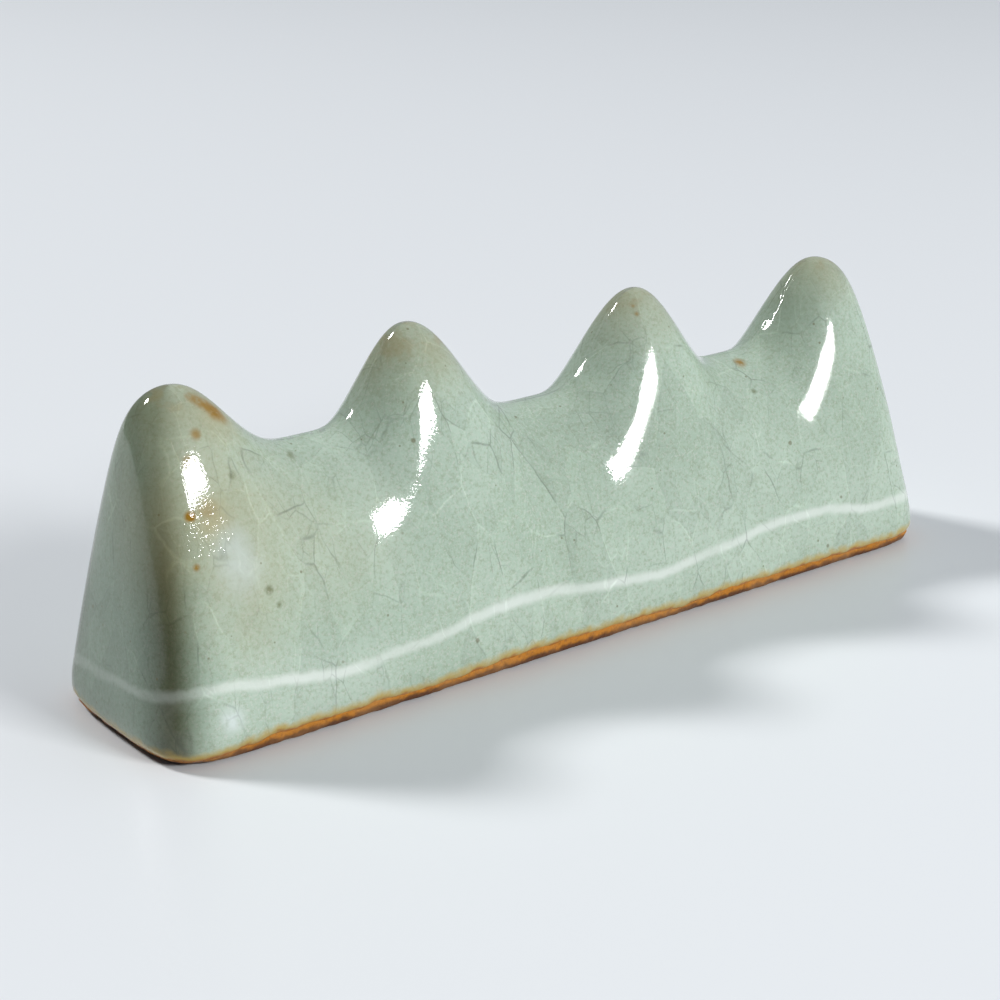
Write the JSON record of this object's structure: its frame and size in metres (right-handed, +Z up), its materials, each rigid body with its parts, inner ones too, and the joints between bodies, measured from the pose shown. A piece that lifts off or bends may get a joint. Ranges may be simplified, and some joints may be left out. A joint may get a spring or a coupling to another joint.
{
  "type": "brush rest",
  "caption": "Long celadon crackle-glazed ceramic brush rest: peaks along the top with a rounded saddle between each pair, leaning walls, a white slip line and a bare brown foot.",
  "frame": {"origin": "middle of the foot, on the surface that it stands on", "axes": "+X along the length, towards the end furthest from the pictured corner; +Y towards the back; +Z up"},
  "size_m": [0.1512, 0.0358, 0.0522],
  "materials": {
    "stoneware": "bare fired stoneware, buff grey",
    "bare_foot": "bare iron-brown fired clay, granular",
    "white_slip": "fired white slip under the glaze",
    "celadon_glaze": "glossy grey-green celadon with a fine crackle and iron specks"
  },
  "bodies": {
    "root": {"stoneware_body": "stoneware", "foot_rim": "bare_foot", "white_slip_line": "white_slip", "celadon_glaze": "celadon_glaze"}
  },
  "joints": []
}
